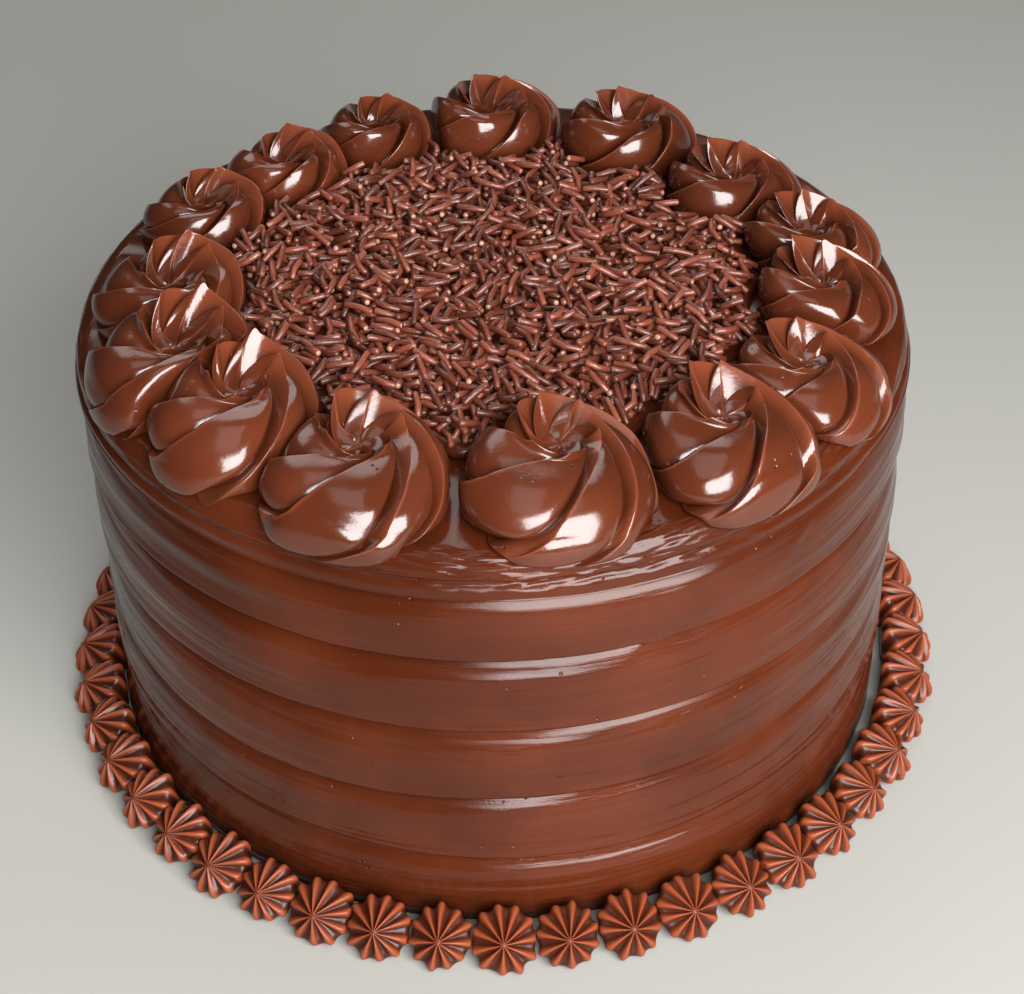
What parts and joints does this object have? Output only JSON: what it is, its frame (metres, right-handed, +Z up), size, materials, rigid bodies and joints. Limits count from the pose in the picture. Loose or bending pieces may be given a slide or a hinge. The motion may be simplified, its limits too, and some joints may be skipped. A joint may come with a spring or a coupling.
{
  "type": "layer cake",
  "caption": "Round chocolate layer cake: lapped bands of icing round the side, a ring of piped rosettes round a bed of sprinkles on top, and small piped stars round the foot.",
  "frame": {"origin": "middle of the foot of the cake, on the surface that it stands on", "axes": "+Z up through the middle of the cake, -Y towards the side that the picture shows"},
  "size_m": [0.2309, 0.2318, 0.1277],
  "materials": {
    "icing": "glossy chocolate icing with drag marks",
    "rosette_icing": "glossy piped chocolate icing",
    "star_icing": "satin piped chocolate icing with paler ridges",
    "sprinkles": "satin chocolate sprinkles"
  },
  "bodies": {
    "root": {"cake": "icing", "sprinkle_bed": "sprinkles", "rosette_01": "rosette_icing", "rosette_02": "rosette_icing", "rosette_03": "rosette_icing", "rosette_04": "rosette_icing", "rosette_05": "rosette_icing", "rosette_06": "rosette_icing", "rosette_07": "rosette_icing", "rosette_08": "rosette_icing", "rosette_09": "rosette_icing", "rosette_10": "rosette_icing", "rosette_11": "rosette_icing", "rosette_12": "rosette_icing", "rosette_13": "rosette_icing", "rosette_14": "rosette_icing", "rosette_15": "rosette_icing", "foot_star_01": "star_icing", "foot_star_02": "star_icing", "foot_star_03": "star_icing", "foot_star_04": "star_icing", "foot_star_05": "star_icing", "foot_star_06": "star_icing", "foot_star_07": "star_icing", "foot_star_08": "star_icing", "foot_star_09": "star_icing", "foot_star_10": "star_icing", "foot_star_11": "star_icing", "foot_star_12": "star_icing", "foot_star_13": "star_icing", "foot_star_14": "star_icing", "foot_star_15": "star_icing", "foot_star_16": "star_icing", "foot_star_17": "star_icing", "foot_star_18": "star_icing", "foot_star_19": "star_icing", "foot_star_20": "star_icing", "foot_star_21": "star_icing", "foot_star_22": "star_icing", "foot_star_23": "star_icing", "foot_star_24": "star_icing", "foot_star_25": "star_icing", "foot_star_26": "star_icing", "foot_star_27": "star_icing", "foot_star_28": "star_icing", "foot_star_29": "star_icing", "foot_star_30": "star_icing", "foot_star_31": "star_icing", "foot_star_32": "star_icing", "foot_star_33": "star_icing", "foot_star_34": "star_icing", "foot_star_35": "star_icing", "foot_star_36": "star_icing", "foot_star_37": "star_icing", "foot_star_38": "star_icing", "foot_star_39": "star_icing", "foot_star_40": "star_icing", "foot_star_41": "star_icing", "foot_star_42": "star_icing", "foot_star_43": "star_icing"}
  },
  "joints": []
}
